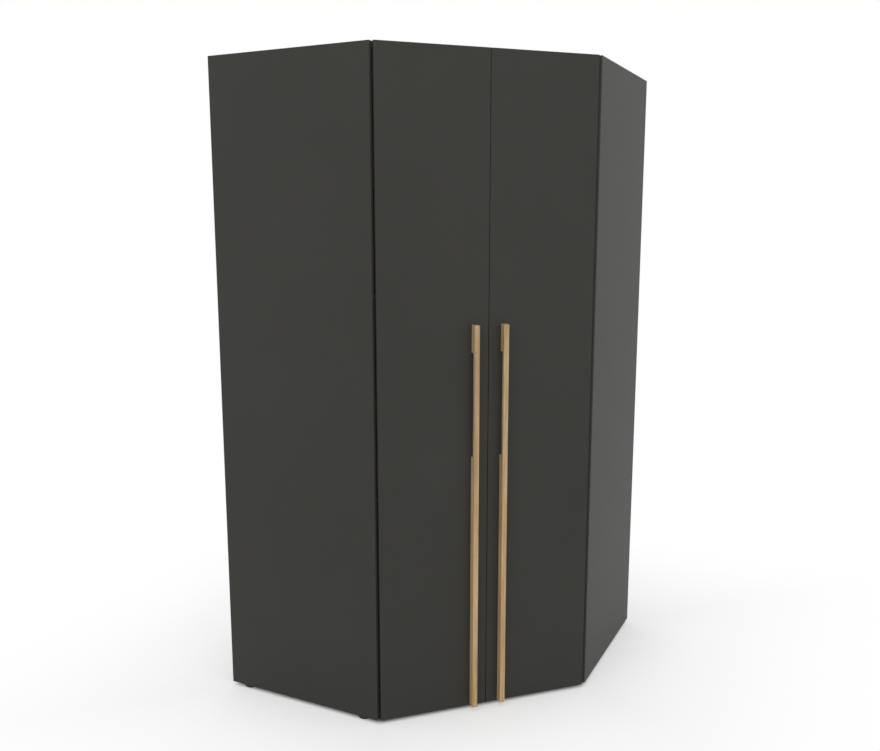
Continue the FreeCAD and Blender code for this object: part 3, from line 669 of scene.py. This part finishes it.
def hinge_cup(side, number):
    """A drawn cup with a rounded flange, two screws and the cheeks of the pin."""
    node = f"{side}_hinge_cup_{number}"
    low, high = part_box(node)
    middle = (low + high) / 2
    door_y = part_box(side + "_door_panel")[1].y
    place = facing((middle.x, door_y, middle.z), (0, 1, 0))
    rise = high.y - door_y
    depth = door_y - low.y
    half_x = middle.x - low.x
    half_z = high.z - middle.z
    bm = bmesh.new()

    outer = rounded_box(half_x, half_z, FLANGE_CORNER)
    inset = rounded_box(half_x - FLANGE_BEVEL, half_z - FLANGE_BEVEL, FLANGE_CORNER - FLANGE_BEVEL)
    rings = stack(bm, place, [(outer, 0), (outer, rise - FLANGE_BEVEL), (inset, rise)])
    bowl = [
        (CUP_RADIUS, 0),
        (CUP_RADIUS, -depth + CUP_FLOOR),
        (CUP_RADIUS - CUP_FLOOR, -depth),
        (0, -depth),
    ]
    outside = lathe(bm, place, bowl)
    fill(bm, rings[0], outside[0])
    hollow = [
        (CUP_INNER_RADIUS + CUP_LIP, rise),
        (CUP_INNER_RADIUS, rise - CUP_LIP),
        (CUP_INNER_RADIUS, 2 * CUP_FLOOR - depth),
        (CUP_INNER_RADIUS - CUP_FLOOR, CUP_FLOOR - depth),
        (0, CUP_FLOOR - depth),
    ]
    inside = lathe(bm, place, hollow)
    fill(bm, rings[2], inside[0])

    for way in (-1, 1):
        seat = Vector((middle.x, high.y, middle.z + way * FLANGE_SCREW_REACH))
        screw(bm, facing(seat, (0, 1, 0)), SCREW_RADIUS, SCREW_RISE / 2, SCREW_RADIUS / 2, depth)
    pin = hinge_pin(side)
    cheek = []
    for step in range(ARC_STEPS + 1):
        turn = math.pi * step / ARC_STEPS
        cheek.append((pin.x + CHEEK_ROUND * math.cos(turn), pin.y + CHEEK_ROUND * math.sin(turn)))
    cheek += [(pin.x - CHEEK_ROUND, low.y + CUP_FLOOR), (pin.x + CHEEK_ROUND, low.y + CUP_FLOOR)]
    for start in (CHEEK_FROM_MIDDLE, -CHEEK_FROM_MIDDLE - CHEEK_THICK):
        lower, upper = stack(
            bm, Matrix.Identity(4), [(cheek, middle.z + start), (cheek, middle.z + start + CHEEK_THICK)]
        )
        fill(bm, lower)
        fill(bm, upper)
    piece(f"{side}_drawn_cup_{number}", bm, "hinge_steel", side + "_door", node)


def hinge_pins(side):
    """Turned pins with chamfered ends."""
    node = side + "_hinge_pins"
    bm = bmesh.new()
    for points in solids_of(node):
        head, radius, tip, _ = rod_ends(points)
        length = (head - tip).length
        profile = [
            (0, 0),
            (radius - PIN_CHAMFER, 0),
            (radius, PIN_CHAMFER),
            (radius, length - PIN_CHAMFER),
            (radius - PIN_CHAMFER, length),
            (0, length),
        ]
        lathe(bm, facing(tip, head - tip), profile, SMALL_SEGMENTS)
    piece(side + "_turned_pins", bm, "hinge_steel", side + "_door", node)


def hinge_pin(side):
    """Middle of the line that a door turns about."""
    return Vector(next(joint["pos_m"] for joint in frame["joints"] if joint["child"] == side + "_door"))


def fixed_fittings(side, sign):
    """What the plates and arms of one side carry: screw heads, and a round eye on each arm."""
    off, along = off_side(sign)
    pin = hinge_pin(side)
    panel = solids_of(side + "_side_panel")[0]
    inner_face = (panel @ np.array(off)).max()
    bm = bmesh.new()
    for number in range(1, HINGES_PER_DOOR + 1):
        plate = solids_of(f"{side}_hinge_plate_{number}")[0]
        arm = solids_of(f"{side}_hinge_arm_{number}")[0]
        level = plate[:, 2].mean()
        depth = plate @ np.array(off)
        peg_ends = plate[depth < depth.min() + SAME_END]
        for way in (-1, 1):
            peg = Vector(peg_ends[way * (peg_ends[:, 2] - level) > 0].mean(0))
            seat = peg + off * (inner_face + PLATE_THICK - peg.dot(off))
            screw(bm, facing(seat, off), WING_SCREW_RADIUS, SCREW_RISE, SCREW_RADIUS / 2, PLATE_THICK)
        reach = plate @ np.array(along)
        for share in ARM_SCREW_SHARES:
            spot = along * (reach.min() + (reach.max() - reach.min()) * share)
            seat = spot + off * (arm @ np.array(off)).max() + Vector((0, 0, level))
            screw(bm, facing(seat, off), SCREW_RADIUS, SCREW_RISE, SCREW_RADIUS / 2, PLATE_THICK)
        half = (arm[:, 2].max() - arm[:, 2].min()) / 2
        profile = [
            (EYE_RADIUS - EYE_WALL, -half),
            (EYE_RADIUS - PIN_CHAMFER, -half),
            (EYE_RADIUS, PIN_CHAMFER - half),
            (EYE_RADIUS, half - PIN_CHAMFER),
            (EYE_RADIUS - PIN_CHAMFER, half),
            (EYE_RADIUS - EYE_WALL, half),
        ]
        rings = lathe(bm, Matrix.Translation((pin.x, pin.y, level)), profile, SMALL_SEGMENTS)
        skin(bm, rings[-1], rings[0])
    piece(side + "_hinge_fittings", bm, "hinge_steel", "carcass")


# Fittings of the carcass


def foot(number):
    """A moulded glide with a ring-shaped tread and rounded rims."""
    node = f"foot_glide_{number}"
    low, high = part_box(node)
    radius = (high.x - low.x) / 2
    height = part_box("bottom_panel")[0].z
    roof, mouth = (radius * share for share in FOOT_HOLLOW_SHARES)
    tread, rim = (radius * share for share in FOOT_TREAD_SHARES)
    groove = [height * share for share in FOOT_GROOVE_LEVEL_SHARES]
    profile = [
        (0, FOOT_HOLLOW),
        (roof, FOOT_HOLLOW),
        (mouth, 0),
        (tread, 0),
        (rim, FOOT_TREAD_ROUND),
        (radius * FOOT_SLOPE_SHARE, FOOT_SLOPE_TOP),
        (radius, FOOT_WALL_START),
        (radius, groove[0]),
        (radius * FOOT_GROOVE_SHARE, groove[1]),
        (radius * FOOT_GROOVE_SHARE, groove[2]),
        (radius, groove[3]),
        (radius, height - FOOT_CHAMFER),
        (radius - FOOT_CHAMFER, height),
        (0, height),
    ]
    bm = bmesh.new()
    middle = (low + high) / 2
    lathe(bm, Matrix.Translation((middle.x, middle.y, 0)), profile, FOOT_SEGMENTS)
    piece(f"moulded_foot_{number}", bm, "black_plastic", "carcass", node)


def cam_caps():
    """Round caps with a cross slot over the cams in the hidden faces of the boards."""
    bm = bmesh.new()
    for points in solids_of("cam_housings"):
        low, high = points.min(0), points.max(0)
        middle = Vector((low + high) / 2)
        if high[2] - low[2] < high[0] - low[0]:
            out = Vector((0, 0, 1 if middle.z > HALF_HEIGHT else -1))
        else:
            out = Vector((DIAGONAL if middle.x > 0 else -DIAGONAL, DIAGONAL, 0))
        reach = ((points - np.array(middle)) @ np.array(out)).max()
        place = facing(middle + out * reach, out)
        profile = [
            (0, -2 * reach),
            (CAM_CAP_RADIUS * CAM_NECK_SHARE, -2 * reach),
            (CAM_CAP_RADIUS * CAM_NECK_SHARE, 0),
            (CAM_CAP_RADIUS, 0),
            (CAM_CAP_RADIUS, FLUSH_RISE / 2),
            (CAM_CAP_RADIUS - FLUSH_RISE, FLUSH_RISE),
        ]
        rim = lathe(bm, place, profile, SMALL_SEGMENTS)[-1]
        slot = cross(CAM_CAP_RADIUS * CAM_SLOT_REACH_SHARE, CAM_CAP_RADIUS * CAM_SLOT_HALF_SHARE)
        recess(bm, place, slot, FLUSH_RISE, CAM_SLOT_DEPTH, rim)
    piece("round_cams", bm, "cast_zinc", "carcass", "cam_housings")


def sunk_screws():
    """Screws with a hex socket, sunk flush into the wall side of the backs."""
    bm = bmesh.new()
    for points in solids_of("back_screws"):
        head, _, tip, narrow = rod_ends(points)
        out = (head - tip).normalized()
        length = (head - tip).length
        place = facing(head, out)
        radius = narrow * SIX_SIDED_SHARE
        profile = [
            (0, -length),
            (radius * SUNK_TIP_SHARE, -length),
            (radius, 2 * radius - length),
            (radius, -SUNK_HEAD_DEPTH),
            (SUNK_HEAD_RADIUS * SUNK_NECK_SHARE, -SUNK_HEAD_DEPTH / 2),
            (SUNK_HEAD_RADIUS * SUNK_NECK_SHARE, 0),
            (SUNK_HEAD_RADIUS, 0),
            (SUNK_HEAD_RADIUS, FLUSH_RISE / 2),
            (SUNK_HEAD_RADIUS - FLUSH_RISE, FLUSH_RISE),
        ]
        rim = lathe(bm, place, profile, SMALL_SEGMENTS)[-1]
        socket = circle(SUNK_HEAD_RADIUS * SOCKET_SHARE, SOCKET_SIDES)
        recess(bm, place, socket, FLUSH_RISE, SUNK_HEAD_DEPTH * SOCKET_DEPTH_SHARE, rim)
    piece("socket_screws", bm, "hinge_steel", "carcass", "back_screws")


def shelf_pins():
    """Round pins with tapered ends under the shelf."""
    bm = bmesh.new()
    for points in solids_of("shelf_pins"):
        head, wide, tip, _ = rod_ends(points)
        radius = wide * SIX_SIDED_SHARE
        length = (head - tip).length
        end = radius * SHELF_PIN_END_SHARE
        taper = radius * SHELF_PIN_TAPER_SHARE
        profile = [(0, 0), (end, 0), (radius, taper), (radius, length - taper), (end, length), (0, length)]
        lathe(bm, facing(tip, head - tip), profile, SMALL_SEGMENTS)
    piece("round_shelf_pins", bm, "hinge_steel", "carcass", "shelf_pins")


def oval(half_width, half_height):
    """An upright oval: two half circles joined by straight sides."""
    points = []
    for way in (1, -1):
        for step in range(OVAL_STEPS + 1):
            turn = math.pi * step / OVAL_STEPS
            x = way * half_width * math.cos(turn)
            points.append((x, way * (half_height - half_width + half_width * math.sin(turn))))
    return points


def clothes_rail():
    """A thin oval tube with rounded caps in its ends."""
    low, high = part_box("clothes_rail")
    middle = (low + high) / 2
    half_y, half_z = (high.y - low.y) / 2, (high.z - low.z) / 2
    place = facing((low.x, middle.y, middle.z), (1, 0, 0))
    length = high.x - low.x
    outer = oval(half_y, half_z)
    inner = oval(half_y - RAIL_WALL, half_z - RAIL_WALL)
    bm = bmesh.new()
    rings = stack(bm, place, [(outer, 0), (outer, length), (inner, length), (inner, 0)])
    skin(bm, rings[3], rings[0])
    piece("oval_rail", bm, "chromed_rail", "carcass", "clothes_rail")

    low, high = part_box("rail_end_caps")
    cap = (high.x - low.x - length) / 2
    soft = oval(half_y - RAIL_CAP_ROUND, half_z - RAIL_CAP_ROUND)
    layers = [(inner, -RAIL_CAP_PLUG), (inner, 0), (outer, 0), (outer, cap - RAIL_CAP_ROUND), (soft, cap)]
    bm = bmesh.new()
    for x, way in ((middle.x - length / 2, -1), (middle.x + length / 2, 1)):
        rings = stack(bm, facing((x, middle.y, middle.z), (way, 0, 0)), layers)
        fill(bm, rings[0])
        fill(bm, rings[-1])
    piece("rounded_rail_caps", bm, "black_plastic", "carcass", "rail_end_caps")


def rail_hangers():
    """Straps with a round lower end and a window for the rail, under a plate with rounded corners."""
    rail_low, rail_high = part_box("clothes_rail")
    rail = (rail_low + rail_high) / 2
    bm = bmesh.new()
    for points in solids_of("rail_hangers"):
        low, high = Vector(points.min(0)), Vector(points.max(0))
        middle = (low + high) / 2
        half_y = (high.y - low.y) / 2
        window = oval((rail_high.y - rail_low.y) / 2, (rail_high.z - rail_low.z) / 2)
        outline = [(half_y, high.z - rail.z), (-half_y, high.z - rail.z)]
        drop = rail.z - low.z - half_y
        for step in range(OVAL_STEPS + 1):
            turn = math.pi * step / OVAL_STEPS
            outline.append((-half_y * math.cos(turn), -drop - half_y * math.sin(turn)))
        place = facing((middle.x, rail.y, rail.z), (1, 0, 0))
        rims = stack(bm, place, [(outline, -HANGER_HALF_THICK), (outline, HANGER_HALF_THICK)])
        holes = stack(bm, place, [(window, -HANGER_HALF_THICK), (window, HANGER_HALF_THICK)])
        for rim, hole in zip(rims, holes):
            fill(bm, rim, hole)
        half_x = (high.x - low.x) / 2
        plate = rounded_box(half_x, half_y, HANGER_CORNER)
        shaved = rounded_box(half_x - HANGER_BEVEL, half_y - HANGER_BEVEL, HANGER_CORNER - HANGER_BEVEL)
        place = facing((middle.x, middle.y, high.z), (0, 0, 1))
        rings = stack(bm, place, [(shaved, -HANGER_PLATE), (plate, HANGER_BEVEL - HANGER_PLATE), (plate, 0)])
        fill(bm, rings[0])
        fill(bm, rings[-1])
    piece("strap_hangers", bm, "chromed_rail", "carcass", "rail_hangers")


def bumpers(side):
    """Soft domes on the inner face of a door."""
    node = side + "_door_bumpers"
    bm = bmesh.new()
    for points in solids_of(node):
        low, high = Vector(points.min(0)), Vector(points.max(0))
        middle = (low + high) / 2
        radius = (high.x - low.x) / 2
        height = high.y - low.y
        dome = height * BUMPER_DOME_SHARE
        profile = [(0, 0), (radius, 0), (radius, height - dome)]
        for step in range(1, ARC_STEPS):
            turn = math.pi / 2 * step / ARC_STEPS
            profile.append((radius * math.cos(turn), height - dome + dome * math.sin(turn)))
        profile.append((0, height))
        lathe(bm, facing((middle.x, low.y, middle.z), (0, 1, 0)), profile, SMALL_SEGMENTS)
    piece(side + "_bumper_domes", bm, "clear_rubber", side + "_door", node)


boards_and_metal()
handles()
for side, sign in SIDES.items():
    for number in range(1, HINGES_PER_DOOR + 1):
        hinge_cup(side, number)
    hinge_pins(side)
    fixed_fittings(side, sign)
    bumpers(side)
for number in range(1, FOOT_COUNT + 1):
    foot(number)
cam_caps()
sunk_screws()
shelf_pins()
clothes_rail()
rail_hangers()
screws("rail_screws", "carcass")
screws("bracket_screws", "carcass")


# Floor, light and camera


def combine(tree, operation, first, second):
    """A math node on two sockets."""
    node = tree.nodes.new("ShaderNodeMath")
    node.operation = operation
    tree.links.new(first, node.inputs[0])
    tree.links.new(second, node.inputs[1])
    return node.outputs["Value"]


def seen_rays(tree):
    """1 for rays from the camera and for those that metal and glass send on."""
    path = tree.nodes.new("ShaderNodeLightPath")
    seen = path.outputs["Is Camera Ray"]
    for name in ("Is Glossy Ray", "Is Transmission Ray"):
        seen = combine(tree, "MAXIMUM", seen, path.outputs[name])
    return seen


def studio_world():
    """Even light from all sides, with a background that looks pure white."""
    world = bpy.data.worlds.new("studio")
    world.use_nodes = True
    tree = world.node_tree
    light = tree.nodes["Background"]
    light.inputs["Color"].default_value = (1, 1, 1, 1)
    light.inputs["Strength"].default_value = WORLD_LIGHT
    white = tree.nodes.new("ShaderNodeBackground")
    white.inputs["Color"].default_value = (1, 1, 1, 1)
    mix = tree.nodes.new("ShaderNodeMixShader")
    tree.links.new(seen_rays(tree), mix.inputs["Fac"])
    tree.links.new(light.outputs["Background"], mix.inputs[1])
    tree.links.new(white.outputs["Background"], mix.inputs[2])
    tree.links.new(mix.outputs["Shader"], tree.nodes["World Output"].inputs["Surface"])
    bpy.context.scene.world = world


def outline_distance(tree):
    """How far a point of the floor lies outside the five upright faces."""
    place = tree.nodes.new("ShaderNodeNewGeometry").outputs["Position"]
    boards = [node for name, node in frame["nodes"].items() if name.endswith("_panel")]
    corners = [vert.co for board in boards for vert in board.data.vertices]
    distances = []
    for way in OUTLINE_WAYS:
        out = Vector(way).normalized()
        dot = tree.nodes.new("ShaderNodeVectorMath")
        dot.operation = "DOT_PRODUCT"
        dot.inputs[1].default_value = out
        tree.links.new(place, dot.inputs[0])
        beyond = tree.nodes.new("ShaderNodeMath")
        beyond.operation = "SUBTRACT"
        beyond.inputs[1].default_value = max(corner.dot(out) for corner in corners)
        tree.links.new(dot.outputs["Value"], beyond.inputs[0])
        distances.append(beyond.outputs["Value"])
    farthest = distances[0]
    for distance in distances[1:]:
        farthest = combine(tree, "MAXIMUM", farthest, distance)
    return farthest


def floor():
    """A pale floor that keeps the shadow and turns white further out; its white glow is painted light that thins
    out towards the outline, painting shade around the base over the floor's own shadow.
    """
    bm = bmesh.new()
    bmesh.ops.create_grid(bm, x_segments=1, y_segments=1, size=FLOOR_HALF)
    mesh = bpy.data.meshes.new("floor")
    bm.to_mesh(mesh)
    bm.free()
    plane = bpy.data.objects.new("floor", mesh)
    bpy.context.scene.collection.objects.link(plane)

    material = bpy.data.materials.new("pale_floor")
    material.use_nodes = True
    tree = material.node_tree
    tree.nodes.remove(tree.nodes["Principled BSDF"])
    diffuse = tree.nodes.new("ShaderNodeBsdfDiffuse")
    diffuse.inputs["Color"].default_value = (FLOOR_TONE, FLOOR_TONE, FLOOR_TONE, 1)
    white = tree.nodes.new("ShaderNodeEmission")
    nearest, farthest = FLOOR_GLOW_AND_PAINTED_SHADE[0][0], FLOOR_GLOW_AND_PAINTED_SHADE[-1][0]
    spread = tree.nodes.new("ShaderNodeMapRange")
    spread.inputs["From Min"].default_value = nearest
    spread.inputs["From Max"].default_value = farthest
    tree.links.new(outline_distance(tree), spread.inputs["Value"])
    # Glow held back near the outline: painted shade around the base, on top of the floor's own shadow
    glow = tree.nodes.new("ShaderNodeValToRGB")
    elements = glow.color_ramp.elements
    elements[0].color = (0, 0, 0, 1)
    elements[1].color = (1, 1, 1, 1)
    for distance, share in FLOOR_GLOW_AND_PAINTED_SHADE[1:-1]:
        elements.new((distance - nearest) / (farthest - nearest)).color = (share, share, share, 1)
    tree.links.new(spread.outputs["Result"], glow.inputs["Fac"])
    mix = tree.nodes.new("ShaderNodeMixShader")
    tree.links.new(combine(tree, "MULTIPLY", glow.outputs["Color"], seen_rays(tree)), mix.inputs["Fac"])
    tree.links.new(diffuse.outputs["BSDF"], mix.inputs[1])
    tree.links.new(white.outputs["Emission"], mix.inputs[2])
    tree.links.new(mix.outputs["Shader"], tree.nodes["Material Output"].inputs["Surface"])
    mesh.materials.append(material)


def softbox(name, place, power, size):
    """A square lamp turned towards the wardrobe."""
    data = bpy.data.lights.new(name, "AREA")
    data.energy = power
    data.size = size
    lamp = bpy.data.objects.new(name, data)
    lamp.location = place
    lamp.rotation_euler = (Vector(LIGHT_AIM) - Vector(place)).to_track_quat("-Z", "Y").to_euler()
    bpy.context.scene.collection.objects.link(lamp)


def camera():
    """The photographed view."""
    data = bpy.data.cameras.new("camera")
    data.sensor_fit = "HORIZONTAL"
    data.sensor_width = SENSOR_WIDTH
    data.lens = SENSOR_WIDTH * FOCAL_PIXELS / IMAGE_WIDTH
    viewer = bpy.data.objects.new("camera", data)
    viewer.location = CAMERA_PLACE
    viewer.rotation_euler = (math.pi / 2 - CAMERA_PITCH, 0, -CAMERA_TURN)
    bpy.context.scene.collection.objects.link(viewer)
    bpy.context.scene.camera = viewer


studio_world()
floor()
softbox("key", KEY_PLACE, KEY_POWER, KEY_SIZE)
camera()
bpy.context.scene.view_settings.view_transform = "Standard"
